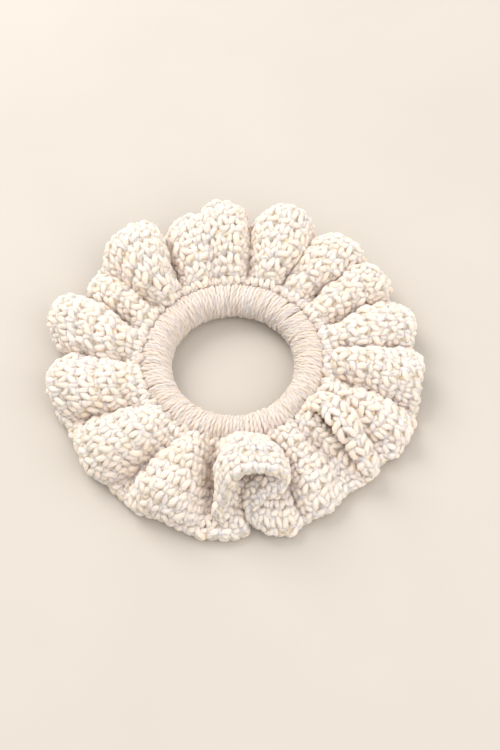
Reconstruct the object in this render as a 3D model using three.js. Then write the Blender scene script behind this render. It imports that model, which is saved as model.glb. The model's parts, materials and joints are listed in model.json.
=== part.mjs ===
// Crocheted hair scrunchie: a braided elastic loop, a ring of yarn worked tightly round it,
// and a deep ruffle of seventeen puffed folds worked on to the outside of that ring.
// Millimetres and degrees, +Z up. The origin is under the middle of the whole outline,
// close to the middle of the hair opening, on the plane the piece rests on.
//
// The ring is closed on the real object. Here it is cut into twelve sectors at valleys of the
// ruffle, so that the loop can open out when it is stretched and the ruffle can roll on the ring.
import * as THREE from 'three';

// ---------------------------------------------------------------- dimensions
// Yarn ring
const HOLE_DIAMETER = 38;            // clear opening at rest
const WRAP_RADIUS = 5.4;             // outside of the yarn worked round the elastic
const WRAP_FACETS = 14;
const CORD_HOLE_RADIUS = 2.65;       // channel inside the yarn wraps
const HOLE_FACETS = 8;
const SECTOR_GAP = 0.3;              // between neighbouring wraps
const WRAP_STEP_ANGLE = 7.5;         // aimed-for length of one step along the wraps
const MIN_WRAP_STEPS = 3;
const RING_RADIUS = HOLE_DIAMETER / 2 + WRAP_RADIUS;  // centre line of the elastic
// The lowest facet of the wraps lies on the resting plane.
const RING_HEIGHT = WRAP_RADIUS * Math.cos(Math.PI / WRAP_FACETS);

// Elastic; its angles are measured from the seam
const CORE_RADIUS = 1.5;             // rubber core
const CORE_STEPS = 38;
const BRAID_OUTER = 2.15;            // braided cover
const BRAID_INNER = 1.8;
const BRAID_STEPS = 36;
const CORD_FACETS = 8;               // core and braid
const CORD_END_ANGLE = 1.5;          // where the core starts, and how far short it and the braid end
const JOIN_OUTER = 2.2;              // sleeve over one end of the core
const JOIN_INNER = 1.75;
const JOIN_START = 1.2;
const JOIN_END = 19;
const JOIN_FACETS = 12;
const JOIN_STEPS = 3;
const JOIN_TO_BRAID = 1;             // angle between the sleeve and the braid

// Ruffle
const FRILL_ROOT_RADIUS = 30.35;     // where the ruffle leaves the ring
const FRILL_ROOT_TOP = 9;
const SHEET = 3.4;                   // thickness of the crocheted fabric
const MIN_SHEET = 1.6;               // least height from underside to top
const STRETCH = 12;                  // how far every sector moves outward at full stretch
const SLIDE_CLEARANCE = 0.05;        // added to the root radius for sheets that slide
const VALLEY_GAP_ROOT = 1.1;         // between neighbouring folds, at the ring
const VALLEY_GAP_EDGE = 1.7;         // and at the outer edge
const CREST_GAP = 0.3;               // between the two halves of one fold
const RADIAL_STEPS = 6;              // from root to edge
const ROUND_STEPS = 5;               // from valley to crest

// Shape of a fold; fractions run from root to edge unless noted
const CREST_PEAK = 0.45;             // where the crest is highest
const CREST_FALL_POWER = 2;          // its droop from there to the tip
const VALLEY_ROOT_LIFT = 0.55;       // how much of its possible rise the valley has at the root
const VALLEY_FALL_POWER = 4;
const ARCH_POWER = 2.3;              // steep sides and a round top
const TIP_POWER = 0.7;               // bluntness of the tip in plan
const CURL_START = 0.8;              // where the edge begins to round over
const CURL_DROP = 0.55;              // mm the top surface comes down at the edge
const ROOT_FILL_END = 0.3;           // solid stitches thin out up to here
const HOLLOW_START = 0.22;           // from valley to crest: where the underside leaves the plane
const HOLLOW_SPAN = 0.5;             // and how far it takes to reach its full rise

// Valleys before, between and after the folds: angle, radius of the edge there.
const VALLEYS = [
  [-41.5, 50], [-28, 54], [-12, 55], [4.5, 52], [22.5, 49], [42, 51],
  [61.5, 49], [81.5, 48], [101.5, 51], [121.5, 46], [141, 49], [159.5, 50],
  [182, 47], [211, 50], [241, 51.5], [268.5, 53], [293, 52], [318.5, 50],
].map(([angle, edge]) => ({ angle, edge }));
const SEAM_ANGLE = VALLEYS[0].angle; // where the ruffle's first and last folds meet

// Folds: name, crest angle, tip radius, height of the top at the peak,
// height of the middle of the fabric at the tip.
const FOLDS = [
  ['i', -36, 58, 16, 10],
  ['h', -20, 58.4, 8.5, 4],
  ['g', -4, 58.4, 12, 8],
  ['f', 13, 58.8, 13, 9],
  ['e', 32, 55.8, 13, 9.5],
  ['d', 52, 56.8, 14, 10],
  ['c', 71, 56.4, 15, 12],
  ['b2', 92, 54, 14.5, 12],
  ['b1', 111, 54, 14.5, 12],
  ['a', 132, 51.5, 17.5, 15],
  ['p', 150, 55.5, 9.5, 5],
  ['o', 169, 58.8, 13, 8.5],
  ['n', 195, 57.2, 11.5, 6],
  ['m', 227, 57.2, 11.5, 4.5],
  ['l', 255, 58, 11, 4],
  ['k', 282, 51, 17, 16],
  ['j', 304, 55.6, 9, 3.5],
].map(([name, angle, tip, peakTop, tipHeight], i) => (
  { name, angle, tip, peakTop, tipHeight, before: VALLEYS[i], after: VALLEYS[i + 1] }
));

// Names of the folds that each sector of the ring carries.
const SECTORS = [
  ['i', 'h'], ['g', 'f'], ['e', 'd'], ['c'], ['b2', 'b1'], ['a', 'p'],
  ['o'], ['n'], ['m'], ['l'], ['k'], ['j'],
].map((names) => {
  const folds = names.map((name) => FOLDS.find((fold) => fold.name === name));
  const from = folds[0].before.angle;
  const to = folds.at(-1).after.angle;
  return { folds, from, to, middle: (from + to) / 2 };
});

// ---------------------------------------------------------------- materials
const material = (color, roughness) => (
  new THREE.MeshStandardMaterial({ color, roughness, metalness: 0 })
);
const YARN = material(0xebe3d2, 0.9);
const BRAID = material(0x14231f, 0.75);
const RUBBER = material(0x2a2723, 0.6);
const SLEEVE = material(0x1b1b1d, 0.45);

// ---------------------------------------------------------------- helpers
const { degToRad, radToDeg, clamp } = THREE.MathUtils;
const group = new THREE.Group();
group.name = 'crochet_scrunchie';

// Eases from 0 to 1 as x does, and stays level outside that range.
function smooth(x) {
  const t = clamp(x, 0, 1);
  return t * t * (3 - 2 * t);
}

// Turns every triangle round if the solid came out inside out.
function orient(points, triangles) {
  let volume = 0;
  for (const corners of triangles) {
    const [[x1, y1, z1], [x2, y2, z2], [x3, y3, z3]] = corners.map((corner) => points[corner]);
    volume += x1 * (y2 * z3 - z2 * y3) - y1 * (x2 * z3 - z2 * x3) + z1 * (x2 * y3 - y2 * x3);
  }
  return volume > 0 ? triangles : triangles.map(([a, b, c]) => [a, c, b]);
}

function addMesh(name, points, triangles, meshMaterial) {
  const geometry = new THREE.BufferGeometry();
  geometry.setAttribute('position', new THREE.Float32BufferAttribute(points.flat(), 3));
  geometry.setIndex(orient(points, triangles).flat());
  geometry.computeVertexNormals();
  const mesh = new THREE.Mesh(geometry, meshMaterial);
  mesh.name = name;
  group.add(mesh);
}

// The two triangles of a quad, split from a to c.
const quad = (a, b, c, d) => [[a, b, c], [a, c, d]];

// Quads between two loops of `count` points that start at the given indices.
function band(start, next, count) {
  const triangles = [];
  for (let j = 0; j < count; j++) {
    const k = (j + 1) % count;
    triangles.push(...quad(start + j, start + k, next + k, next + j));
  }
  return triangles;
}

// Polygon of (outward, up) offsets from the ring's centre line, with a level facet on top.
function circle(radius, facets) {
  return Array.from({ length: facets }, (_, i) => {
    const angle = ((i + 0.5) / facets) * Math.PI * 2 + Math.PI / 2;
    return [radius * Math.cos(angle), radius * Math.sin(angle)];
  });
}

// Places a section of (outward, up) offsets on the ring at an angle.
function station(angle, section) {
  const cos = Math.cos(degToRad(angle));
  const sin = Math.sin(degToRad(angle));
  return section.map(([out, up]) => [
    (RING_RADIUS + out) * cos,
    (RING_RADIUS + out) * sin,
    RING_HEIGHT + up,
  ]);
}

// Solid section swept along the ring between two angles, with flat ends.
function rod(name, { from, to, steps, section, material: rodMaterial }) {
  const count = section.length;
  const last = steps * count;
  const points = [];
  const triangles = [];
  for (let i = 0; i <= steps; i++) {
    points.push(...station(from + ((to - from) * i) / steps, section));
  }
  for (let i = 0; i < steps; i++) {
    triangles.push(...band(i * count, (i + 1) * count, count));
  }
  for (let j = 1; j + 1 < count; j++) {
    triangles.push([0, j + 1, j], [last, last + j, last + j + 1]);
  }
  addMesh(name, points, triangles, rodMaterial);
}

// Triangles between an outer loop at `base` and the inner loop that follows it,
// stitched by advancing along whichever loop lags.
function annulus(base, outerCount, innerCount) {
  const triangles = [];
  const outerAt = (i) => base + (i % outerCount);
  const innerAt = (j) => base + outerCount + (j % innerCount);
  let i = 0;
  let j = 0;
  while (i < outerCount || j < innerCount) {
    const innerDone = j >= innerCount;
    if (innerDone || (i < outerCount && (i + 1) / outerCount <= (j + 1) / innerCount)) {
      triangles.push([outerAt(i), outerAt(i + 1), innerAt(j)]);
      i++;
    } else {
      triangles.push([outerAt(i), innerAt(j + 1), innerAt(j)]);
      j++;
    }
  }
  return triangles;
}

// Hollow section swept along the ring between two angles, with annular ends.
function pipe(name, { from, to, steps, outer, inner, material: pipeMaterial }) {
  const row = outer.length + inner.length;
  const points = [];
  const triangles = [];
  for (let i = 0; i <= steps; i++) {
    const angle = from + ((to - from) * i) / steps;
    points.push(...station(angle, outer), ...station(angle, inner));
  }
  for (let i = 0; i < steps; i++) {
    const start = i * row;
    const next = start + row;
    const bore = band(start + outer.length, next + outer.length, inner.length);
    triangles.push(...band(start, next, outer.length));
    triangles.push(...bore.map(([a, b, c]) => [a, c, b]));
  }
  triangles.push(...annulus(0, outer.length, inner.length).map(([a, b, c]) => [a, c, b]));
  triangles.push(...annulus(steps * row, outer.length, inner.length));
  addMesh(name, points, triangles, pipeMaterial);
}

// ---------------------------------------------------------------- elastic
function addElastic() {
  const cordEnd = SEAM_ANGLE + 360 - CORD_END_ANGLE;
  rod('elastic_core', {
    from: SEAM_ANGLE + CORD_END_ANGLE,
    to: cordEnd,
    steps: CORE_STEPS,
    section: circle(CORE_RADIUS, CORD_FACETS),
    material: RUBBER,
  });
  pipe('elastic_join_sleeve', {
    from: SEAM_ANGLE + JOIN_START,
    to: SEAM_ANGLE + JOIN_END,
    steps: JOIN_STEPS,
    outer: circle(JOIN_OUTER, JOIN_FACETS),
    inner: circle(JOIN_INNER, JOIN_FACETS),
    material: SLEEVE,
  });
  pipe('elastic_braid', {
    from: SEAM_ANGLE + JOIN_END + JOIN_TO_BRAID,
    to: cordEnd,
    steps: BRAID_STEPS,
    outer: circle(BRAID_OUTER, CORD_FACETS),
    inner: circle(BRAID_INNER, CORD_FACETS),
    material: BRAID,
  });
}

// ---------------------------------------------------------------- yarn wraps, one per sector
function addWraps({ from, to }, index) {
  const trim = radToDeg(SECTOR_GAP / 2 / RING_RADIUS);
  pipe(`yarn_wraps_${String(index).padStart(2, '0')}`, {
    from: from + trim,
    to: to - trim,
    steps: Math.max(MIN_WRAP_STEPS, Math.round((to - from) / WRAP_STEP_ANGLE)),
    outer: circle(WRAP_RADIUS, WRAP_FACETS),
    inner: circle(CORD_HOLE_RADIUS, HOLE_FACETS),
    material: YARN,
  });
}

// ---------------------------------------------------------------- ruffle
// Height of the middle of the fabric along a crest, v running from ring (0) to edge (1).
function crestHeight(fold, v) {
  const root = FRILL_ROOT_TOP - SHEET / 2;
  const peak = fold.peakTop - SHEET / 2;
  if (v < CREST_PEAK) return root + (peak - root) * smooth(v / CREST_PEAK);
  const fall = ((v - CREST_PEAK) / (1 - CREST_PEAK)) ** CREST_FALL_POWER;
  return peak + (fold.tipHeight - peak) * fall;
}

// The same along a valley.
function valleyHeight(v) {
  const rise = (FRILL_ROOT_TOP - SHEET) * VALLEY_ROOT_LIFT;
  return SHEET / 2 + rise * (1 - v) ** VALLEY_FALL_POWER;
}

// Smallest root radius at an angle that still clears the wraps after a slide of
// slide.travel along the tangent at slide.angle.
function standOff(angle, slide) {
  const lag = degToRad(slide.angle - angle);
  const sine = Math.sin(lag);
  if (sine <= 0) return FRILL_ROOT_RADIUS;
  const clear = FRILL_ROOT_RADIUS + SLIDE_CLEARANCE;
  const { travel } = slide;
  // A short slide is limited by where it ends, a longer one by its nearest pass to the centre.
  const radius = travel < clear * sine
    ? travel * sine + Math.sqrt((travel * sine) ** 2 - travel ** 2 + clear ** 2)
    : clear / Math.cos(lag);
  return Math.max(FRILL_ROOT_RADIUS, radius);
}

// Angle of the fabric at s and radius r, clear of the next fold in a valley
// and of its own other half at a cut crest.
function fabricAngle(fold, from, to, s, r, v) {
  const valleyGap = VALLEY_GAP_ROOT + (VALLEY_GAP_EDGE - VALLEY_GAP_ROOT) * v;
  const valleyTrim = radToDeg(Math.asin(valleyGap / 2 / r));
  const crestTrim = radToDeg(Math.asin(CREST_GAP / 2 / r));
  const low = from < 0 ? fold.before.angle + valleyTrim : fold.angle + crestTrim;
  const high = to > 0 ? fold.after.angle - valleyTrim : fold.angle - crestTrim;
  let crest = fold.angle;
  if (from === 0) crest = low;
  if (to === 0) crest = high;
  return degToRad(crest + ((s < 0 ? low : high) - crest) * Math.abs(s));
}

// Top and underside points on one line from ring to edge, at s across the fold.
function fabricLine(fold, from, to, s, slide) {
  const inward = 1 - Math.abs(s);    // 0 in the valley, 1 on the crest
  const valley = s < 0 ? fold.before : fold.after;
  const rootAngle = fold.angle + Math.abs(valley.angle - fold.angle) * s;
  const root = slide ? standOff(rootAngle, slide) : FRILL_ROOT_RADIUS;
  const reach = Math.sin((inward * Math.PI) / 2) ** TIP_POWER;
  const edge = valley.edge + (fold.tip - valley.edge) * reach;
  const lift = 1 - Math.abs(s) ** ARCH_POWER;
  const hollow = smooth((inward - HOLLOW_START) / HOLLOW_SPAN);
  const tops = [];
  const undersides = [];
  for (let j = 0; j <= RADIAL_STEPS; j++) {
    const v = j / RADIAL_STEPS;
    const r = root + (edge - root) * v;
    const angle = fabricAngle(fold, from, to, s, r, v);
    const x = r * Math.cos(angle);
    const y = r * Math.sin(angle);
    const middle = valleyHeight(v) + (crestHeight(fold, v) - valleyHeight(v)) * lift;
    const curl = CURL_DROP * smooth((v - CURL_START) / (1 - CURL_START));
    const top = middle + SHEET / 2 - curl;
    const rise = (middle - SHEET / 2) * smooth(v / ROOT_FILL_END) + curl;
    tops.push([x, y, top]);
    undersides.push([x, y, clamp(rise * hollow, 0, top - MIN_SHEET)]);
  }
  return { tops, undersides };
}

// Sheet of fabric arched over a fold, standing on the resting plane in the valleys.
// s is -1 in the valley before, 0 on the crest and 1 in the valley after; from and to pick
// the whole fold or one half. A sheet with a slide spreads with the next sector and slides
// along the ring as it does, so its root stands off to clear the wraps.
function addSheet(name, fold, { from, to, slide }) {
  const steps = (to - from) * ROUND_STEPS;
  const lines = [];
  for (let i = 0; i <= steps; i++) {
    lines.push(fabricLine(fold, from, to, from + ((to - from) * i) / steps, slide));
  }
  const points = [
    ...lines.flatMap((line) => line.tops),
    ...lines.flatMap((line) => line.undersides),
  ];
  const row = RADIAL_STEPS + 1;
  const top = (i, j) => i * row + j;
  const under = (i, j) => (steps + 1) * row + top(i, j);
  const triangles = [];
  const addQuad = (...corners) => triangles.push(...quad(...corners));
  const edge = RADIAL_STEPS;
  for (let i = 0; i < steps; i++) {
    for (let j = 0; j < edge; j++) {
      addQuad(top(i, j), top(i, j + 1), top(i + 1, j + 1), top(i + 1, j));
      addQuad(under(i, j), under(i + 1, j), under(i + 1, j + 1), under(i, j + 1));
    }
    addQuad(top(i, 0), top(i + 1, 0), under(i + 1, 0), under(i, 0));
    addQuad(top(i, edge), under(i, edge), under(i + 1, edge), top(i + 1, edge));
  }
  for (let j = 0; j < edge; j++) {
    addQuad(top(0, j), under(0, j), under(0, j + 1), top(0, j + 1));
    addQuad(top(steps, j), top(steps, j + 1), under(steps, j + 1), under(steps, j));
  }
  addMesh(name, points, triangles, YARN);
}

// A sector with two folds gives each its own sheet. A sector with one has it cut along the
// crest, because its halves part when the loop is stretched; the last sector ends at the
// seam, so its fold stays whole.
function addFolds({ folds: [first, second], middle }, index) {
  const next = SECTORS[index + 1];
  if (!next) {
    addSheet(`fold_${first.name}`, first, { from: -1, to: 1 });
    return;
  }
  const slide = {
    angle: (middle + next.middle) / 2,
    travel: 2 * STRETCH * Math.sin(degToRad(next.middle - middle) / 2),
  };
  if (second) {
    addSheet(`fold_${first.name}`, first, { from: -1, to: 1 });
    addSheet(`fold_${second.name}`, second, { from: -1, to: 1, slide });
  } else {
    addSheet(`fold_${first.name}_near`, first, { from: -1, to: 0 });
    addSheet(`fold_${first.name}_far`, first, { from: 0, to: 1, slide });
  }
}

// ---------------------------------------------------------------- assembly
addElastic();
SECTORS.forEach(addWraps);
SECTORS.forEach(addFolds);

// Centre the whole outline over the origin and rest it on the plane.
const { min, max } = new THREE.Box3().setFromObject(group);
group.position.set(-(min.x + max.x) / 2, -(min.y + max.y) / 2, -min.z);

export default group;
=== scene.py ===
"""Crocheted scrunchie: an elastic ring wrapped in yarn, with a crocheted ruffle worked into it.

The ring lies flat on the table (z = 0) round a vertical axis. Angles run anticlockwise from +x, in
degrees, starting at the seam; the camera stands on the -y side, the front. Lengths are in mm and
paths are measured from the ring's centre until a mesh is built. Every strand is a tube swept along
the path its yarn takes.
"""

import json
import math
from collections import namedtuple

import bpy
import numpy as np
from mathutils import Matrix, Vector


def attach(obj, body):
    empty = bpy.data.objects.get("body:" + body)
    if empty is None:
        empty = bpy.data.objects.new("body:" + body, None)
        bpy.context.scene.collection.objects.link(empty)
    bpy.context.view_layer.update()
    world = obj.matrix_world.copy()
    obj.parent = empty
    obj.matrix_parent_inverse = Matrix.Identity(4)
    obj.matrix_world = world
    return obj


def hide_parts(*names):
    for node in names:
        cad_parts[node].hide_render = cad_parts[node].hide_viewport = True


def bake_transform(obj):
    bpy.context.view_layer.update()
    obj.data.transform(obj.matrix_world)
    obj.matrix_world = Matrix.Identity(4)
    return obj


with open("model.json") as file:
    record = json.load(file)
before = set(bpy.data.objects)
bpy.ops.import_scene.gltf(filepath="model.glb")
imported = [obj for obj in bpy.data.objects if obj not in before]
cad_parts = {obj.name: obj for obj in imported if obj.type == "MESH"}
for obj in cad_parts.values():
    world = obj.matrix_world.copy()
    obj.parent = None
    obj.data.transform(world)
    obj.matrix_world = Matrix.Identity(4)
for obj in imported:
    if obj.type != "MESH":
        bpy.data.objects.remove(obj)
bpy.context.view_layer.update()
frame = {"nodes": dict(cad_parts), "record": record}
behaviour = frame["record"]["behaviour"]

MM = 0.001
RING_R = 24.4         # centre line of the elastic
WRAP_R = 5.4          # outside of the wraps, from the cord's centre
RING_Z = WRAP_R * math.cos(math.pi / 14)    # a fourteen-sided cord lying on one of its flats
SEAM = -41.5          # angle where the ring starts and ends
ROWS = 12             # rounds of stitches in the ruffle
STITCH_WIDTH = 3.3
YARN_R = 1.06         # working yarn of the ruffle
THICKNESS = 1.45      # reach off the fabric's middle per unit of the stitch path

# the ring's centre, stepped back from the first roll joint at right angles to its axis
roll = next(j for j in behaviour["joints"] if j["name"] == "ruffle_roll")
CENTRE_X = roll["pos_m"][0] / MM + RING_R * roll["axis"][1]
CENTRE_Y = roll["pos_m"][1] / MM - RING_R * roll["axis"][0]


def rad(degrees):
    return degrees * math.pi / 180


# ---------------------------------------------------------------- layout of the ruffle
# Profiles run from ring to edge as (radius, height) of the fabric's middle.
def crest(tip, high, end, bulb):
    """Top line of a fold. bulb 0 gives a soft end, 1 a full round one."""
    top = high - 1.7
    fall = top - end
    soft = [(40.5 + 0.58 * (tip - 40.5), top - 0.12 * fall), (tip - 1.8, end + 0.60 * fall),
            (tip, end + 0.20 * fall), (tip - 0.9, end)]
    full = [(tip - 6.0, top), (tip - 1.7, top - 0.20 * fall), (tip, top - 0.58 * fall),
            (tip - 1.4, end)]
    tail = [(x0 + (x1 - x0) * bulb, y0 + (y1 - y0) * bulb)
            for (x0, y0), (x1, y1) in zip(soft, full)]
    root = 8.3
    rise = top - root
    return [(29.0, root), (31.2, root + 0.20 * rise + 0.5), (34.6, root + 0.66 * rise + 0.3),
            (40.5, top)] + tail


def valley(tip, end=1.75, middle=2.4):
    """Bottom line between two folds."""
    outer = (end + middle) / 2 if middle > 2.5 else end + 0.3
    return [(29.15, 7.9), (31.4, 6.7), (33.8, 4.9), (37.2, (middle + 3.6) / 2), (42.0, outer),
            (tip, end)]


# A line of the fabric from ring to edge: its angle at each, its profile, the curve handle there as
# a multiple of the half width, the way the fabric runs at the edge as (round the ring, outward,
# up), and how early the line swings from its ring angle to its edge angle.
AROUND = (1, 0, 0)
Knot = namedtuple("Knot", "ring_angle edge_angle profile handle way swing",
                  defaults=[AROUND, 1.0])
KNOTS = [
    Knot(-41.3, -45.0, [(29.0, 8.8), (31.0, 13.4), (35.0, 15.8), (41.5, 14.4), (48.5, 10.8),
                        (53.4, 6.6), (55.2, 3.4)], 1.0, (1, 0, 0.8)),
    Knot(-35.0, -42.4, [(29.0, 9.2), (30.4, 13.8), (34.5, 16.6), (41.0, 15.8), (48.0, 12.6),
                        (53.2, 8.2), (55.4, 4.6), (54.6, 2.2)], 1.9),
    Knot(-27.0, -37.0, valley(54.5), 0.9),
    Knot(-20.5, -24.6, crest(57.6, 10.4, 2.2, 0.4), 2.0),
    Knot(-12.0, -16.5, valley(57.4), 0.8),
    Knot(-4.0, -4.5, [(29.0, 8.3), (31.2, 10.2), (34.6, 12.4), (40.5, 12.3), (47.0, 12.0),
                      (52.0, 11.2), (55.6, 9.8), (57.6, 8.0)], 3.0),
    Knot(4.5, 5.5, valley(50.6), 0.7),
    Knot(13.0, 14.5, crest(57.3, 14.2, 4.0, 0.8), 3.0),
    Knot(22.5, 26.0, valley(53.0), 0.6),
    Knot(32.0, 35.0, crest(56.8, 14.0, 4.0, 0.85), 3.2),
    Knot(42.0, 42.0, valley(57.6, 5.4, 4.4), 0.9),
    Knot(51.0, 50.0, crest(58.2, 15.0, 5.0, 0.95), 3.4),
    Knot(61.5, 60.5, valley(53.8), 0.5),
    Knot(68.5, 72.0, crest(59.2, 17.2, 6.5, 1.0), 4.0),
    Knot(81.5, 84.0, valley(54.0), 0.5),
    Knot(90.5, 93.5, crest(57.6, 17.4, 6.8, 1.0), 2.8),
    Knot(101.5, 102.5, [(29.1, 8.0), (31.4, 8.0), (34.5, 9.4), (40.0, 12.4), (47.0, 14.2),
                        (53.4, 12.4), (56.4, 8.6), (55.8, 6.4)], 1.6),
    Knot(110.0, 108.6, crest(56.2, 15.0, 6.2, 0.9), 2.4),
    Knot(121.5, 115.4, valley(54.6, 3.8, 3.2), 0.6),
    Knot(133.5, 126.8, crest(57.2, 19.2, 8.0, 1.0), 3.7),
    Knot(141.0, 140.5, valley(55.4, 6.6, 7.0), 0.9),
    Knot(149.5, 147.0, crest(55.0, 12.4, 4.0, 0.6), 2.3),
    Knot(159.5, 153.5, valley(55.4, 3.4, 3.4), 0.7),
    Knot(170.0, 164.5, crest(58.4, 14.8, 4.4, 0.9), 3.6),
    Knot(182.0, 174.8, valley(50.0), 0.5),
    Knot(195.0, 187.5, crest(55.8, 13.8, 3.4, 0.8), 3.6),
    Knot(211.0, 201.5, valley(53.4), 0.9),
    Knot(223.0, 216.0, crest(54.2, 13.8, 2.4, 0.6), 3.0),
    Knot(239.5, 232.0, valley(54.0), 0.9),
    Knot(249.5, 246.0, crest(54.8, 13.4, 2.2, 0.5), 3.0),
    Knot(262.5, 262.0, valley(56.6), 0.8),
    # the open fold at the front
    Knot(265.0, 275.0, [(29.15, 7.9), (31.4, 8.4), (36.0, 8.4), (40.5, 5.0), (45.0, 2.6),
                        (50.0, 1.9), (54.4, 1.8)], 0.9, (0.6, -0.4, 0.4), swing=1.9),
    Knot(267.4, 265.4, [(29.1, 8.3), (31.2, 10.4), (35.0, 11.4), (41.0, 10.0), (47.0, 7.6),
                        (51.4, 5.4)], 0.9, (-0.1, -0.4, 1)),
    Knot(276.5, 278.0, [(29.0, 8.8), (31.0, 13.4), (34.2, 17.0), (37.8, 18.6), (41.0, 18.6),
                        (43.4, 18.0)], 2.4),
    Knot(285.5, 290.0, [(29.1, 8.4), (31.4, 11.4), (35.0, 13.8), (39.4, 14.4), (43.2, 13.2),
                        (46.0, 11.2)], 1.1, (0.1, 0.2, -1)),
    Knot(288.0, 275.6, [(29.15, 7.9), (31.4, 7.6), (36.0, 6.8), (41.0, 5.0), (46.6, 5.4),
                        (52.0, 5.4)], 0.8, (0.1, 1, -0.3), swing=1.7),
    Knot(290.0, 284.5, [(29.15, 7.8), (32.0, 5.4), (37.0, 4.0), (45.0, 4.6), (50.5, 6.4),
                        (54.2, 6.2), (56.4, 3.8), (56.0, 2.0)], 1.3),
    # the low folds that run on to the seam
    Knot(293.0, 292.0, valley(55.4), 0.7),
    Knot(301.0, 300.0, [(29.1, 8.2), (31.5, 9.6), (36.0, 9.8), (42.0, 8.8), (48.0, 7.4),
                        (52.6, 5.0), (54.8, 2.2)], 2.2),
    Knot(309.0, 309.0, [(29.15, 7.6), (31.5, 7.4), (36.0, 6.6), (42.0, 4.9), (48.0, 3.6),
                        (53.6, 2.2)], 1.2),
    Knot(315.4, 315.0, [(29.2, 8.5), (31.4, 10.8), (35.0, 11.5), (40.5, 10.1), (46.0, 7.4),
                        (51.5, 4.4), (54.6, 2.2)], 0.9),
    Knot(319.0, 320.6, [(29.2, 8.4), (31.4, 9.2), (35.0, 9.2), (40.5, 7.6), (46.0, 5.2),
                        (51.5, 3.0), (54.0, 1.9)], 0.9, (1, 0, -0.6)),
]
LAST = len(KNOTS) - 1

# the frame's twelve sectors: the knots, and the angles, they start and end at
SECTORS = 12
SECTOR_KNOTS = [0, 4, 8, 12, 14, 18, 22, 24, 26, 28, 30, 37, LAST]
BOUNDS = [SEAM, -12, 22.5, 61.5, 81.5, 121.5, 159.5, 182, 211, 241, 268.5, 293, SEAM + 360]
CENTRES = [(low + high) / 2 for low, high in zip(BOUNDS, BOUNDS[1:])]


# ---------------------------------------------------------------- curves
def spline(points, per=16):
    """Catmull-Rom through the points, as a dense polyline."""
    p = np.array(points, float)
    p = np.vstack([2 * p[0] - p[1], p, 2 * p[-1] - p[-2]])
    t = np.linspace(0, 1, per, endpoint=False)[:, None]
    out = []
    for a, b, c, d in zip(p, p[1:], p[2:], p[3:]):
        out.append(0.5 * ((2 * b) + (-a + c) * t + (2 * a - 5 * b + 4 * c - d) * t ** 2
                          + (-a + 3 * b - 3 * c + d) * t ** 3))
    out.append(p[-2][None])
    return np.vstack(out)


def lengths_along(path):
    """Length from the start to each point, measured in the first three columns."""
    return np.r_[0, np.cumsum(np.linalg.norm(np.diff(path[:, :3], axis=0), axis=1))]


def at_lengths(path, lengths, wanted):
    return np.stack([np.interp(wanted, lengths, column) for column in path.T], -1)


def by_fraction(path, fraction):
    """Points at fractions of the path's length, carried on straight past the ends."""
    lengths = lengths_along(path)
    x = fraction * lengths[-1]
    out = at_lengths(path, lengths, x)
    before, after = x < 0, x > lengths[-1]
    out[before] = path[0] + (path[1] - path[0]) / lengths[1] * x[before][:, None]
    slope = (path[-1] - path[-2]) / (lengths[-1] - lengths[-2])
    out[after] = path[-1] + slope * (x[after] - lengths[-1])[:, None]
    return out


def resample(path, step, closed=False):
    if closed:
        path = np.vstack([path, path[:1]])
    lengths = lengths_along(path)
    count = max(4, int(round(lengths[-1] / step)))
    out = at_lengths(path, lengths, np.linspace(0, lengths[-1], count + 1))
    return out[:-1] if closed else out


def soften(path, times):
    for _ in range(times):
        softer = path.copy()
        softer[1:-1] = 0.5 * path[1:-1] + 0.25 * (path[:-2] + path[2:])
        path = softer
    return path


def smoothstep(x):
    x = np.clip(x, 0, 1)
    return x * x * (3 - 2 * x)


# ---------------------------------------------------------------- the fabric's surface
# v runs from 0 at the ring to 1 at the edge; the table of lines goes a little past both
V_MIN, V_MAX, V_COUNT = -0.08, 1.10, 60
V = np.linspace(V_MIN, V_MAX, V_COUNT)


def knot_angles(knot):
    turn = knot.edge_angle - knot.ring_angle
    return np.radians(knot.ring_angle + turn * smoothstep(V * knot.swing))


def knot_points(knot, angle):
    radius, height = by_fraction(spline(knot.profile), V).T
    return np.stack([radius * np.cos(angle), radius * np.sin(angle), height], -1)


ANGLES = np.array([knot_angles(knot) for knot in KNOTS])
POINTS = np.array([knot_points(knot, angle) for knot, angle in zip(KNOTS, ANGLES)])


def knot_tangents(k):
    """How the fabric crosses line k. It starts out round the ring and takes the knot's own way."""
    knot = KNOTS[k]
    near = [n for n in (k - 1, k + 1) if 0 <= n <= LAST]
    half = np.mean([np.linalg.norm((POINTS[n] - POINTS[k])[:, :2], axis=1) for n in near], axis=0)
    half = np.minimum(half, 9.0)
    handle = 1 + (knot.handle - 1) * smoothstep((V - 0.08) / 0.36)
    turn = smoothstep((V - 0.05) / 0.45)
    around, outward, up = (np.outer(knot.way, turn) + np.outer(AROUND, 1 - turn))
    cos, sin = np.cos(ANGLES[k]), np.sin(ANGLES[k])
    way = np.stack([-sin * around + cos * outward, cos * around + sin * outward, up], -1)
    return way * (half * handle)[:, None]


TANGENTS = np.array([knot_tangents(k) for k in range(len(KNOTS))])


class Noise:
    """Smooth noise in space, the same on every run."""

    def __init__(self, seed, cells=24):
        self.cells = cells
        self.grid = np.random.default_rng(seed).uniform(-1, 1, (cells, cells, cells))

    def __call__(self, points, size=1.0, offset=0.0):
        points = points / size + offset
        cell = np.floor(points).astype(int)
        f = points - cell
        f = f * f * (3 - 2 * f)
        out = 0
        for corner in np.ndindex(2, 2, 2):
            weight = np.prod(np.where(corner, f, 1 - f), axis=-1)
            index = (cell + corner) % self.cells
            out = out + weight * self.grid[tuple(np.moveaxis(index, -1, 0))]
        return out


big_noise, small_noise, x_noise, y_noise, lean_noise = (Noise(s) for s in (11, 12, 13, 14, 31))


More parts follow.
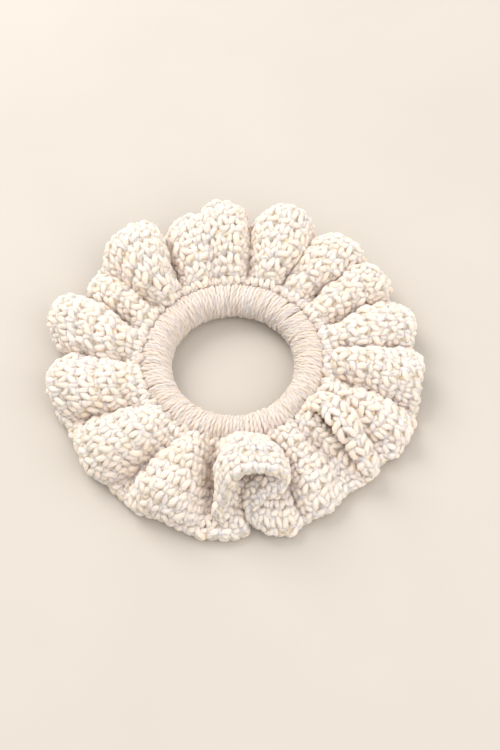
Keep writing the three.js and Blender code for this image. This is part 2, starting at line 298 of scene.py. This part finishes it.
def middle(u, v):
    """The fabric's middle: u counts knots along the ruffle, Hermite curves joining them."""
    k = np.clip(np.floor(u).astype(int), 0, LAST - 1)
    s = (u - k)[..., None]
    g = (v - V_MIN) / (V_MAX - V_MIN) * (V_COUNT - 1)
    m = np.clip(np.floor(g).astype(int), 0, V_COUNT - 2)
    q = (g - m)[..., None]

    def at(table, knot):
        return table[knot, m] * (1 - q) + table[knot, m + 1] * q

    s2, s3 = s * s, s * s * s
    return ((2 * s3 - 3 * s2 + 1) * at(POINTS, k) + (s3 - 2 * s2 + s) * at(TANGENTS, k)
            + (-2 * s3 + 3 * s2) * at(POINTS, k + 1) + (s3 - s2) * at(TANGENTS, k + 1))


def fabric_normal(u, v):
    step = 0.03
    along = (middle(np.clip(u + step, 0, LAST - 0.001), v)
             - middle(np.clip(u - step, 0, LAST - 0.001), v))
    outward = middle(u, v + step) - middle(u, v - step)
    n = np.cross(along, outward)
    return -n / np.maximum(np.linalg.norm(n, axis=-1, keepdims=True), 1e-9)


def surface(u, v, lift):
    """A point of the uneven fabric, lift mm off its middle."""
    u = np.clip(u, 0.0, LAST - 0.0001)
    p = middle(u, v)
    free = smoothstep((v - 0.06) / 0.25)    # the fabric is held still at the ring
    ridge = 0.30 * np.cos(math.pi * v * ROWS) * (0.6 + y_noise(p, size=7.0, offset=9.1))
    bump = (0.85 * big_noise(p, size=9.0, offset=3.1)
            + 0.75 * small_noise(p, size=4.2, offset=7.7) + ridge) * free
    side = np.stack([x_noise(p, size=8.0, offset=1.3), y_noise(p, size=8.0, offset=5.9),
                     np.zeros_like(u)], -1) * (0.8 * free)[..., None]
    out = p + fabric_normal(u, v) * (lift + bump)[..., None] + side
    # nothing goes through the table: low fabric eases down onto it
    floor, ease = YARN_R + 0.05, 0.8
    z = out[..., 2]
    low = z < floor + ease
    out[..., 2] = np.where(low, floor + ease * np.exp((z - floor - ease) / ease), z)
    return out


# ---------------------------------------------------------------- tubes
def dot(a, b):
    return a[0] * b[0] + a[1] * b[1] + a[2] * b[2]


def minus(a, b, times=1.0):
    return a[0] - times * b[0], a[1] - times * b[1], a[2] - times * b[2]


def unit_across(vector, tangent):
    """The part of a vector square to the tangent, at unit length."""
    x, y, z = minus(vector, tangent, dot(vector, tangent))
    size = math.sqrt(x * x + y * y + z * z) or 1.0
    return x / size, y / size, z / size


def transport(path, tangents):
    """Normals that turn as little as they can along the path, by double reflection."""
    tiny = 1e-12
    points, tangents = path.tolist(), tangents.tolist()
    flattest = min(range(3), key=lambda i: abs(tangents[0][i]))
    normal = unit_across([float(i == flattest) for i in range(3)], tangents[0])
    out = [normal]
    for a, b, tangent_a, tangent_b in zip(points, points[1:], tangents, tangents[1:]):
        step = minus(b, a)
        size = dot(step, step)
        if size > tiny:
            normal = minus(normal, step, 2 * dot(step, normal) / size)
            mirrored = minus(tangent_a, step, 2 * dot(step, tangent_a) / size)
            change = minus(tangent_b, mirrored)
            size = dot(change, change)
            if size > tiny:
                normal = minus(normal, change, 2 * dot(change, normal) / size)
        normal = unit_across(normal, tangent_b)
        out.append(normal)
    return np.array(out)


# cross sections, as multiples of the tube's radius
PLIED = np.array([0.86, 1.06] * 6)
ROPE = np.array([1.10, 1.02, 0.80, 1.02] * 3)
STRAIGHT = 1e9        # length of one twist in a strand that has none


def round_profile(sides):
    return np.ones(sides)


class Mesh:
    """Gathers closed tubes into one mesh."""

    def __init__(self):
        self.vertices, self.quads, self.triangles, self.data = [], [], [], []
        self.count = 0

    def tube(self, path, radius, closed=False, profile=PLIED, twist=STRAIGHT, phase=0.0,
             tone=0.0):
        """Sweep a profile along a path. radius and the depth that sets the painted shade may be one
        number or one a ring.
        """
        if closed:
            tangent = np.roll(path, -1, 0) - np.roll(path, 1, 0)
        else:
            tangent = np.gradient(path, axis=0)
        tangent = tangent / np.maximum(np.linalg.norm(tangent, axis=1, keepdims=True), 1e-9)
        normal = transport(path, tangent)
        binormal = np.cross(tangent, normal)
        rings, sides = len(path), len(profile)
        length = lengths_along(path)
        turn = phase + 2 * math.pi * length / twist
        if closed:
            # the ends meet: the normals' own turn and the twist come to whole thirds of a turn
            carried = normal[-1] - tangent[0] * (normal[-1] @ tangent[0])
            left = math.atan2(carried @ binormal[0], carried @ normal[0])
            total = length[-1] + np.linalg.norm(path[0] - path[-1])
            thirds = max(1, round(total / twist * 3))
            turn = phase + (2 * math.pi * thirds / 3 - left) * length / total
        around = np.arange(sides) * 2 * math.pi / sides
        angle = (turn[:, None] + around)[..., None]
        reach = np.broadcast_to(radius, rings)[:, None] * profile
        self.vertices.append((path[:, None] + reach[..., None] * (
            np.cos(angle) * normal[:, None] + np.sin(angle) * binormal[:, None])).reshape(-1, 3))

        # per vertex: cosine and sine round the strand, length along it, ply height, and the depth
        # that sets the painted shade
        shade_depths = np.broadcast_to(tone, rings)
        data = np.zeros((rings, sides, 5), np.float32)
        data[..., 0] = np.cos(around)
        data[..., 1] = np.sin(around)
        data[..., 2] = length[:, None]
        data[..., 3] = (profile - profile.min()) / max(float(np.ptp(profile)), 1e-9)
        data[..., 4] = shade_depths[:, None]
        self.data.append(data.reshape(-1, 5))

        ids = self.count + np.arange(rings * sides).reshape(rings, sides)
        self.count += rings * sides
        ahead = ids[1:]
        if closed:
            shift = round(thirds * sides / 3) % sides
            ahead = np.vstack([ahead, np.roll(ids[:1], -shift, 1)])
        here = ids[:len(ahead)]
        corners = [here, np.roll(here, -1, 1), np.roll(ahead, -1, 1), ahead]
        self.quads.append(np.stack(corners, -1).reshape(-1, 4))
        if closed:
            return
        for end, sign in ((0, -1), (-1, 1)):
            tip = path[end] + sign * tangent[end] * float(np.mean(reach[end])) * 0.45
            self.vertices.append(tip[None])
            self.data.append(np.array([[0, 0, length[end], 0.5, shade_depths[end]]], np.float32))
            pair = [ids[end], np.roll(ids[end], -1)][::sign]
            self.triangles.append(np.stack([*pair, np.full(sides, self.count)], -1))
            self.count += 1

    def hairs(self, random, count, longest):
        """Stray cotton fibres: fine tubes that start on the yarn and curl away from it."""
        strands = [v for v in self.vertices if len(v) > 60]
        sizes = np.array([len(v) for v in strands], float)
        shortest, points = 0.7, 7
        t = np.linspace(0, 1, points)[:, None]
        for i in random.choice(len(strands), count, p=sizes / sizes.sum()):
            start = strands[i][random.integers(len(strands[i]))]
            way = random.normal(0, 1, 3)
            way /= np.linalg.norm(way)
            bend = random.normal(0, 1, 3) * 0.5
            size = shortest + (longest - shortest) * random.uniform(0, 1) ** 2
            path = (start + size * (way * (t - 0.15) + bend * t ** 2 * 0.6)
                    + random.normal(0, 0.04, (points, 3)))
            path[:, 2] = np.maximum(path[:, 2], 0.06)
            self.tube(path, 0.040 * np.linspace(1.0, 0.5, points), profile=round_profile(3),
                      tone=1.0)

    def build(self, name, material):
        vertices = (np.vstack(self.vertices) + np.array([CENTRE_X, CENTRE_Y, 0.0])) * MM
        quads, triangles = np.vstack(self.quads), np.vstack(self.triangles)
        corners = np.concatenate([quads.ravel(), triangles.ravel()]).astype(np.int32)
        faces = len(quads) + len(triangles)
        starts = np.concatenate([np.arange(len(quads)) * 4,
                                 quads.size + np.arange(len(triangles)) * 3]).astype(np.int32)
        me = bpy.data.meshes.new(name)
        me.vertices.add(len(vertices))
        me.vertices.foreach_set("co", vertices.ravel().astype(np.float32))
        me.loops.add(len(corners))
        me.loops.foreach_set("vertex_index", corners)
        me.polygons.add(faces)
        me.polygons.foreach_set("loop_start", starts)
        me.polygons.foreach_set("use_smooth", np.ones(faces, bool))
        me.update(calc_edges=True)
        me.validate()
        data = np.vstack(self.data)
        for attribute, kind, field, values in (
                ("strand", "FLOAT_VECTOR", "vector", data[:, :3]),
                ("ply", "FLOAT", "value", data[:, 3]),
                ("tone", "FLOAT", "value", data[:, 4])):
            layer = me.attributes.new(attribute, kind, "POINT")
            layer.data.foreach_set(field, values.ravel().astype(np.float32))
        me.materials.append(material)
        ob = bpy.data.objects.new(name, me)
        bpy.context.scene.collection.objects.link(ob)
        return ob


# ---------------------------------------------------------------- shader helpers
def node_material(name):
    m = bpy.data.materials.new(name)
    m.use_nodes = True
    tree = m.node_tree
    tree.nodes.clear()
    out = tree.nodes.new("ShaderNodeOutputMaterial")
    shader = tree.nodes.new("ShaderNodeBsdfPrincipled")
    tree.links.new(shader.outputs[0], out.inputs[0])
    return m, tree, shader


def attribute_node(tree, name):
    node = tree.nodes.new("ShaderNodeAttribute")
    node.attribute_name = name
    return node


def object_coords(tree):
    return tree.nodes.new("ShaderNodeTexCoord").outputs["Object"]


def ramp(tree, factor, stops):
    node = tree.nodes.new("ShaderNodeValToRGB")
    elements = node.color_ramp.elements
    while len(elements) < len(stops):
        elements.new(0.5)
    for element, (position, colour) in zip(elements, stops):
        element.position, element.color = position, (*colour, 1)
    tree.links.new(factor, node.inputs[0])
    return node.outputs[0]


def multiply(tree, colour, by, amount=1.0):
    node = tree.nodes.new("ShaderNodeMix")
    node.data_type, node.blend_type = "RGBA", "MULTIPLY"
    node.inputs[0].default_value = amount
    tree.links.new(colour, node.inputs[6])    # colour A
    tree.links.new(by, node.inputs[7])        # colour B
    return node.outputs[2]


def math_node(tree, operation, *values):
    node = tree.nodes.new("ShaderNodeMath")
    node.operation = operation
    for socket, value in zip(node.inputs, values):
        if hasattr(value, "links"):
            tree.links.new(value, socket)
        else:
            socket.default_value = value
    return node.outputs[0]


def noise_node(tree, vector, scale, detail=3.0, rough=0.55):
    node = tree.nodes.new("ShaderNodeTexNoise")
    node.inputs["Scale"].default_value = scale
    node.inputs["Detail"].default_value = detail
    node.inputs["Roughness"].default_value = rough
    tree.links.new(vector, node.inputs["Vector"])
    return node.outputs[0]


def fibre_noise(tree, strand, stretch, **noise):
    """Noise drawn out along the strand, on its own round-and-along coordinates."""
    mapping = tree.nodes.new("ShaderNodeMapping")
    mapping.inputs["Scale"].default_value = stretch
    tree.links.new(strand.outputs["Vector"], mapping.inputs["Vector"])
    return noise_node(tree, mapping.outputs[0], **noise)


def add_bump(tree, shader, height, strength, distance):
    node = tree.nodes.new("ShaderNodeBump")
    node.inputs["Strength"].default_value = strength
    node.inputs["Distance"].default_value = distance
    tree.links.new(height, node.inputs["Height"])
    tree.links.new(node.outputs[0], shader.inputs["Normal"])


def set_inputs(shader, values):
    for name, value in values.items():
        shader.inputs[name].default_value = value


# ---------------------------------------------------------------- materials
WHITE = (1.0, 1.0, 1.0)


def yarn_material(name, tint):
    m, tree, shader = node_material(name)
    strand = attribute_node(tree, "strand")
    ply = attribute_node(tree, "ply")
    tone = attribute_node(tree, "tone")
    coords = object_coords(tree)
    fibre = fibre_noise(tree, strand, (4.0, 4.0, 0.55), scale=2.2, detail=4.0, rough=0.6)
    patches = noise_node(tree, coords, scale=60.0, detail=2.0)
    grain = noise_node(tree, coords, scale=900.0, detail=2.0)
    # thirteen fine threads round the strand, made wavy by the fibres
    split = tree.nodes.new("ShaderNodeSeparateXYZ")
    tree.links.new(strand.outputs["Vector"], split.inputs[0])
    turn = math_node(tree, "ARCTAN2", split.outputs[1], split.outputs[0])
    waver = math_node(tree, "MULTIPLY", fibre, 5.0)
    thread = math_node(tree, "SINE", math_node(tree, "MULTIPLY_ADD", turn, 13.0, waver))
    thread = math_node(tree, "MULTIPLY_ADD", thread, 0.5, 0.5)

    colour = ramp(tree, patches, [(0.30, (0.912, 0.846, 0.805)), (0.52, (0.930, 0.876, 0.858)),
                                  (0.72, (0.945, 0.905, 0.896))])
    streaks = ramp(tree, fibre, [(0.25, (0.93, 0.87, 0.79)), (0.50, (0.99, 0.97, 0.94)),
                                 (0.75, WHITE)])
    colour = multiply(tree, colour, streaks, amount=0.5)
    # painted shade in the fine grooves between the threads
    lines = ramp(tree, thread, [(0.0, (0.95, 0.89, 0.80)), (0.5, WHITE)])
    colour = multiply(tree, colour, lines, amount=0.8)
    # painted shade in the grooves between the plies
    ply_groove_shade = ramp(tree, ply.outputs["Fac"], [(0.0, (0.945, 0.88, 0.75)), (0.8, WHITE)])
    colour = multiply(tree, colour, ply_groove_shade, amount=0.8)
    # the depth runs from -1, deep in the fabric, to 1 on its outside: painted shade, darker and
    # warmer the deeper the yarn lies
    depth = math_node(tree, "MULTIPLY_ADD", tone.outputs["Fac"], 0.5, 0.5)
    shade = ramp(tree, depth, [(0.0, (0.95, 0.84, 0.64)), (0.5, (0.965, 0.915, 0.780)),
                               (1.0, WHITE)])
    colour = multiply(tree, colour, shade)
    colour = multiply(tree, colour, ramp(tree, fibre, [(0.0, tint), (1.0, tint)]))
    tree.links.new(colour, shader.inputs["Base Color"])
    set_inputs(shader, {
        "Roughness": 0.82,
        "Specular IOR Level": 0.25,
        "Sheen Weight": 0.18,
        "Sheen Roughness": 0.5,
        "Sheen Tint": (1.0, 0.97, 0.90, 1),
        "Subsurface Weight": 0.48,
        "Subsurface Radius": (1.0, 0.72, 0.45),
        "Subsurface Scale": 0.0016,
    })
    # relief: fibres most, then threads, then grain
    relief = math_node(tree, "MULTIPLY", thread, 0.35)
    relief = math_node(tree, "MULTIPLY_ADD", grain, 0.15, relief)
    relief = math_node(tree, "MULTIPLY_ADD", fibre, 0.5, relief)
    add_bump(tree, shader, relief, strength=0.8, distance=0.0003)
    return m


def braid_material():
    m, tree, shader = node_material("elastic_braid_thread")
    strand = attribute_node(tree, "strand")
    fibre = fibre_noise(tree, strand, (5.0, 5.0, 0.9), scale=3.0)
    colour = ramp(tree, fibre, [(0.3, (0.010, 0.030, 0.026)), (0.7, (0.035, 0.085, 0.072))])
    tree.links.new(colour, shader.inputs["Base Color"])
    set_inputs(shader, {"Roughness": 0.6, "Sheen Weight": 0.3})
    add_bump(tree, shader, fibre, strength=0.5, distance=0.0001)
    return m


def rubber_material(name, dark, light, rough, scale):
    m, tree, shader = node_material(name)
    mottle = noise_node(tree, object_coords(tree), scale, detail=4.0)
    colour = ramp(tree, mottle, [(0.35, dark), (0.7, light)])
    tree.links.new(colour, shader.inputs["Base Color"])
    roughness = ramp(tree, mottle, [(0.3, (rough - 0.08,) * 3), (0.7, (rough + 0.08,) * 3)])
    tree.links.new(roughness, shader.inputs["Roughness"])
    add_bump(tree, shader, mottle, strength=0.35, distance=0.00005)
    return m


def floor_material():
    m, tree, shader = node_material("studio_floor")
    mottle = noise_node(tree, object_coords(tree), scale=14.0)
    colour = ramp(tree, mottle, [(0.3, (0.480, 0.440, 0.390)), (0.7, (0.500, 0.460, 0.410))])
    tree.links.new(colour, shader.inputs["Base Color"])
    set_inputs(shader, {"Roughness": 0.9})
    return m


YARN = yarn_material("cotton_yarn", tint=(0.99, 0.935, 0.920))
# painted shade: the ring's yarn is the ruffle's yarn, painted darker because the ring takes less
# light
SHADED_RING_YARN = yarn_material("ring_yarn", tint=(0.850, 0.785, 0.765))
BRAID = braid_material()
RUBBER = rubber_material("elastic_rubber", dark=(0.020, 0.018, 0.016),
                         light=(0.055, 0.050, 0.045), rough=0.6, scale=900)
SLEEVE = rubber_material("join_sleeve_plastic", dark=(0.012, 0.012, 0.014),
                         light=(0.035, 0.035, 0.040), rough=0.42, scale=1400)

# ---------------------------------------------------------------- stitches
# The yarn's path through one single crochet, in stitch widths along the row, rows up, and out of
# the fabric: a bar across the back, through the hole, up and down the two legs of the V in front,
# and the loop that lies along the top.
STITCH = np.array([
    (-0.06, 1.00, -0.38), (0.10, 0.76, -0.66), (0.36, 0.60, -0.78), (0.56, 0.36, -0.56),
    (0.48, 0.04, -0.20), (0.42, -0.04, 0.24), (0.29, 0.24, 0.62), (0.14, 0.62, 0.72),
    (0.12, 0.94, 0.36), (0.46, 1.06, 0.02), (0.84, 0.94, 0.36), (0.82, 0.60, 0.72),
    (0.64, 0.22, 0.62), (0.54, -0.04, 0.22), (0.58, 0.10, -0.34), (0.72, 0.52, -0.62),
    (0.84, 0.92, -0.44), (1.04, 1.12, -0.36), (1.40, 1.14, -0.02), (1.06, 1.20, 0.46),
    (0.66, 1.10, 0.34)])
STITCH_MIDDLE = np.array([0.5, 0.55])
STITCH_TWIST = 8.0    # length of one twist of the yarn in a stitch


def turn_stitch(stitch, angle, scale=1.0):
    """Turn and scale a stitch in the plane of the fabric."""
    cos, sin = math.cos(angle), math.sin(angle)
    spun = (stitch[:, :2] - STITCH_MIDDLE) @ np.array([[cos, sin], [-sin, cos]])
    stitch[:, :2] = spun * scale + STITCH_MIDDLE


def stitch_yarn(stitches, chosen):
    """One smooth path through the chosen stitches, up to the start of the next."""
    path = np.vstack([*(stitches[i] for i in chosen), *stitches[chosen[-1] + 1:][:1, :1][:, 0][None]]
                     if chosen[-1] + 1 < len(stitches) else [stitches[i] for i in chosen])
    return resample(soften(resample(spline(path, 8), 0.40), 2), 0.50)


# ---------------------------------------------------------------- the ruffle
ruffle_random = np.random.default_rng(7)
# no two stitches are pulled alike: standard deviations of what varies
RUFFLE_SPREAD = dict(turn=0.11, size=0.07, shift=0.06, wobble=0.03, depth=0.13, out=0.10)

# a row of stitches: u against length along it, its stitch count, each stitch's u and its path
# as (x, y, z, out of the fabric)
Row = namedtuple("Row", "u lengths count centres stitches")


def ruffle_stitch(row):
    def vary(what, size=None):
        return ruffle_random.normal(0, RUFFLE_SPREAD[what], size)

    # every other row is worked from the fabric's other face
    c = STITCH * np.array([1, 1, 1 if row % 2 == 0 else -1])
    turn_stitch(c, vary("turn"), 1 + vary("size"))
    c[:, 0] += vary("shift")
    c[:, 1] += vary("shift")
    c += vary("wobble", c.shape)
    c[:, 2] = c[:, 2] * (1 + vary("depth")) + vary("out")
    return c


def ruffle_row(i):
    u = np.linspace(0, LAST - 0.001, LAST * 40)
    lengths = lengths_along(middle(u, np.full_like(u, (i + 0.5) / ROWS)))
    count = int(round(lengths[-1] / STITCH_WIDTH))
    cells = np.array([ruffle_stitch(i) for _ in range(count)])
    x = cells[..., 0] + np.arange(count)[:, None]
    out = cells[..., 2]
    along = np.clip(x, 0.02, count - 0.02) * (lengths[-1] / count)
    points = surface(np.interp(along, lengths, u), (i + cells[..., 1]) / ROWS, out * THICKNESS)
    centres = np.interp((np.arange(count) + 0.5) * lengths[-1] / count, lengths, u)
    return Row(u, lengths, count, centres, np.concatenate([points, out[..., None]], -1))


def add_ruffle_row(mesh, sector, i, row):
    first, last = SECTOR_KNOTS[sector:sector + 2]
    chosen = np.where((row.centres >= first) & (row.centres < last))[0]
    path = stitch_yarn(row.stitches, chosen)
    uneven = 1 + 0.05 * np.sin(np.linspace(0, len(path) / 9.0, len(path)) + i)
    # painted shade: the yarn lying near the fabric's middle is painted darker and warmer, the outer
    # loops not
    raised = np.clip((np.abs(path[:, 3]) - 0.20) / 0.40, 0, 1)
    mesh.tube(path[:, :3], YARN_R * uneven, twist=STITCH_TWIST,
              phase=float(ruffle_random.uniform(0, 6)),
              tone=raised * (0.85 + 0.15 * math.sin(i * 2.1 + sector)))
    # the yarn inside the row, under the loops, painted in deep shade
    width = row.lengths[-1] / row.count
    low = max(chosen[0], 0.6) * width
    high = min(chosen[-1] + 1, row.count - 0.6) * width
    along = np.linspace(low, high, max(4, int((high - low) / 0.9)))
    inside = surface(np.interp(along, row.lengths, row.u),
                     (i + 0.5 + 0.10 * np.sin(along * 1.9 + i)) / ROWS,
                     0.15 * np.sin(along * 1.3 + 2 * i))
    mesh.tube(resample(soften(inside, 1), 0.8), 1.16, profile=round_profile(8), tone=-0.75)


def build_ruffle():
    rows = [ruffle_row(i) for i in range(ROWS)]
    for k in range(SECTORS):
        mesh = Mesh()
        for i, row in enumerate(rows):
            add_ruffle_row(mesh, k, i, row)
        mesh.hairs(ruffle_random, count=260, longest=3.4)
        body, web = f"ruffle_{k:02d}", f"web_{k:02d}"
        ob = mesh.build(body, YARN)
        nodes = list(behaviour["bodies"][body])
        if k < SECTORS - 1:
            nodes += behaviour["bodies"][web]
            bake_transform(ob)
        else:
            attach(ob, body)
        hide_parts(*nodes)


# ---------------------------------------------------------------- the ring: wraps and chain
# stretches of the ring: the frame's ring bodies each one follows, and the angles it runs between
Span = namedtuple("Span", "rings low high")
BETWEEN = [Span((i, i + 1), CENTRES[i], CENTRES[i + 1]) for i in range(SECTORS - 1)]
WRAP_SPANS = [Span((0,), SEAM, CENTRES[0]), *BETWEEN, Span((11,), CENTRES[11], SEAM + 360)]


def follow_ring(ob, span):
    bodies = [f"ring_{i:02d}" for i in span.rings]
    if len(bodies) == 1:
        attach(ob, bodies[0])
    else:
        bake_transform(ob)


def ring_point(theta, phi, r):
    """theta round the ring, phi round the cord from outward over the top, both in radians;
    r from the cord's centre."""
    radius = RING_R + r * np.cos(phi)
    return np.stack([radius * np.cos(theta), radius * np.sin(theta), RING_Z + r * np.sin(phi)],
                    -1)


def inside_seam(degrees, margin):
    return np.radians(np.clip(degrees, SEAM + margin, SEAM + 360 - margin))


WRAPS = 144
WRAP_MARGIN = 0.9     # degrees from the seam to the first and last wrap
GAP = 188.0           # angle where the wraps part and the elastic shows
FILLERS = 96
CHAIN = 54            # stitches on the ring's outer shoulder
MARGIN = 1.4          # degrees from the seam to the fillers and the chain
INNER_SPAN = 360 - 2 * MARGIN
CHAIN_SPREAD = dict(turn=0.16, wobble=0.04, up=0.10)    # standard deviations
PHI = np.linspace(0, 2 * math.pi, 64, endpoint=False)
ring_random = np.random.default_rng(21)


def ripple(angles, waves, height):
    return height * np.sin(waves * angles + ring_random.uniform(0, 6))


def mesh_at(meshes, angle):
    return meshes[np.searchsorted(CENTRES, angle, side="right")]


def add_wraps(meshes):
    pitch = (360 - 2 * WRAP_MARGIN) / (WRAPS - 1)
    angles = np.sort(SEAM + WRAP_MARGIN + np.arange(WRAPS) * pitch
                     + ring_random.normal(0, 0.16, WRAPS))
    for a in angles:
        lean = (1.5 + 2.6 * float(lean_noise(np.array([a / 22.0, 0.5, 0.5])))
                + ring_random.normal(0, 0.35))
        away = a - GAP
        part = math.copysign(0.75 * math.exp(-(away / 1.8) ** 2), away)
        wander = ripple(PHI, 2, 0.30) + ripple(PHI, 3, 0.22)
        theta = inside_seam(a + part - lean * np.cos(PHI - 0.9) + wander, margin=0.4)
        yarn = 0.70 + 0.16 * (1 + np.cos(PHI)) / 2    # thinner in the ring's hole
        r = (WRAP_R - 0.80 + ring_random.normal(0, 0.08)
             + ripple(PHI, 3, 0.14) + ripple(PHI, 5, 0.10))
        path = ring_point(theta, PHI, r)
        path[:, 2] = np.maximum(path[:, 2], yarn + 0.02)
        path = resample(path, 0.46, closed=True)
        yarn = np.interp(np.arange(len(path)) / len(path), np.arange(65) / 64,
                         np.r_[yarn, yarn[:1]])
        # each wrap gets a random amount of the painted shade
        mesh_at(meshes, a).tube(path, yarn, closed=True, profile=ROPE, twist=7.0,
                                phase=float(ring_random.uniform(0, 6)),
                                tone=float(ring_random.uniform(0.55, 1)))


def add_fillers(meshes):
    """The yarn underneath, which fills the wraps out round the elastic, painted in shade."""
    phi = PHI[::2]
    for a in SEAM + MARGIN + np.arange(FILLERS) * INNER_SPAN / (FILLERS - 1):
        if abs(a - GAP) < 1.6:
            continue
        theta = inside_seam(a + ripple(phi, 2, 1.2), margin=0.8)
        path = resample(ring_point(theta, phi, 3.45), 0.8, closed=True)
        mesh_at(meshes, a).tube(path, 0.86, closed=True, profile=round_profile(7), twist=40.0,
                                tone=-0.5)


def chain_stitch(k):
    c = STITCH.copy()
    turn_stitch(c, ring_random.normal(0, CHAIN_SPREAD["turn"]))
    c += ring_random.normal(0, CHAIN_SPREAD["wobble"], c.shape)
    c[:, 1] += ring_random.normal(0, CHAIN_SPREAD["up"])
    # the first and last stitches stay clear of the seam
    x = np.clip(c[:, 0], 0.02 if k == 0 else -np.inf, 0.98 if k == CHAIN - 1 else np.inf)
    theta = np.radians(SEAM + MARGIN + (k + x) * INNER_SPAN / CHAIN)
    return ring_point(theta, np.radians(43 - c[:, 1] * 34), WRAP_R + 0.25 + c[:, 2] * 0.95)


def add_chain(meshes):
    """The round of stitches which the ruffle is worked into."""
    stitches = np.array([chain_stitch(k) for k in range(CHAIN)])
    angles = SEAM + MARGIN + (np.arange(CHAIN) + 0.5) * INNER_SPAN / CHAIN
    for mesh, span in zip(meshes, WRAP_SPANS):
        chosen = np.where((angles >= span.low) & (angles < span.high))[0]
        mesh.tube(stitch_yarn(stitches, chosen), 0.98, twist=STITCH_TWIST,
                  phase=float(ring_random.uniform(0, 6)), tone=0.8)


def build_wraps():
    meshes = [Mesh() for _ in WRAP_SPANS]
    add_wraps(meshes)
    add_fillers(meshes)
    add_chain(meshes)
    for j, (mesh, span) in enumerate(zip(meshes, WRAP_SPANS)):
        mesh.hairs(ring_random, count=170, longest=3.2)
        ob = mesh.build(f"wraps_{j:02d}", SHADED_RING_YARN)
        follow_ring(ob, span)
        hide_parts(*(f"yarn_wraps_{i:02d}" for i in span.rings))


# ---------------------------------------------------------------- the elastic inside
CORE_R = 1.42
BRAID_R = 1.72
BRAID_WEAVE = 0.14    # how far a thread goes over and under the others
BRAID_PITCH = 9.5     # length of one turn of a thread
THREAD_R = 0.26
THREADS = 12
ELASTIC_START, ELASTIC_END = SEAM + 17.2, SEAM + 360 + 16.5


def add_braid(mesh, low, high):
    theta = np.radians(np.linspace(low, high, int((high - low) * 1.3)))
    each_way = THREADS / 2
    for k in range(THREADS):
        sense, offset = (1, 0) if k % 2 == 0 else (-1, math.pi)
        turn = (sense * theta * RING_R * 2 * math.pi / BRAID_PITCH
                + (k // 2) * 2 * math.pi / each_way)
        weave = BRAID_WEAVE * np.sin(turn * each_way + offset)
        mesh.tube(ring_point(theta, turn, BRAID_R + weave), THREAD_R, profile=round_profile(6))


def build_elastic():
    for j, span in enumerate([*BETWEEN, Span((11,), CENTRES[11], ELASTIC_END)]):
        low = ELASTIC_START if j == 0 else span.low
        core, braid = Mesh(), Mesh()
        theta = np.radians(np.linspace(low, span.high, int((span.high - low) * 0.5) * 2))
        core.tube(ring_point(theta, 0 * theta, 0.0), CORE_R, profile=round_profile(14))
        add_braid(braid, low, span.high)
        for mesh, part, material, slot in ((core, "core", RUBBER, "rubber"),
                                           (braid, "braid", BRAID, "braid")):
            ob = mesh.build(f"elastic_{part}_{j:02d}", material)
            follow_ring(ob, span)
            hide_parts(f"elastic_{part}")
    sleeve = frame["nodes"]["elastic_join_sleeve"].data.materials
    sleeve.clear()
    sleeve.append(SLEEVE)


# ---------------------------------------------------------------- stage, in metres
def add_object(name, data, location, facing):
    """A light or camera looking along facing."""
    ob = bpy.data.objects.new(name, data)
    bpy.context.scene.collection.objects.link(ob)
    ob.location = location
    ob.rotation_mode = "QUATERNION"
    ob.rotation_quaternion = facing.to_track_quat("-Z", "Y")
    return ob


def add_light(name, location, size, power, colour):
    """A round area light turned to the origin."""
    light = bpy.data.lights.new(name, "AREA")
    light.shape, light.size, light.energy, light.color = "DISK", size, power, colour
    add_object(name, light, location, -Vector(location))


def build_stage():
    material = floor_material()
    bpy.ops.mesh.primitive_plane_add(size=6.0, location=(0, 0, 0))
    floor = bpy.context.object
    floor.name = "floor"
    floor.data.materials.append(material)
    add_light("key", (-0.45, 0.50, 0.62), size=0.60, power=6.4, colour=(1.0, 0.985, 0.97))
    add_light("fill", (0.55, -0.35, 0.55), size=0.9, power=3.4, colour=(1.0, 0.99, 0.98))
    world = bpy.data.worlds.new("studio")
    bpy.context.scene.world = world
    world.use_nodes = True
    background = world.node_tree.nodes["Background"]
    background.inputs["Color"].default_value = (1.0, 0.99, 0.98, 1)
    background.inputs["Strength"].default_value = 1.1
    bpy.context.scene.view_settings.view_transform = "Standard"


def build_camera():
    elevation, distance = rad(58.6), 325.0
    aim_right, aim_down = 5.3, 3.4    # mm the aim lies right of and below the ring's centre
    data = bpy.data.cameras.new("camera")
    data.lens, data.sensor_width = 50, 36
    data.clip_start, data.clip_end = 0.01, 20
    back = Vector((0, -math.cos(elevation), math.sin(elevation)))
    down = Vector((0, -math.sin(elevation), -math.cos(elevation)))
    aim = Vector((CENTRE_X + aim_right, CENTRE_Y, RING_Z)) + down * aim_down
    camera = add_object("camera", data, (aim + back * distance) * MM, -back)
    bpy.context.scene.camera = camera


build_ruffle()
build_wraps()
build_elastic()
build_stage()
build_camera()
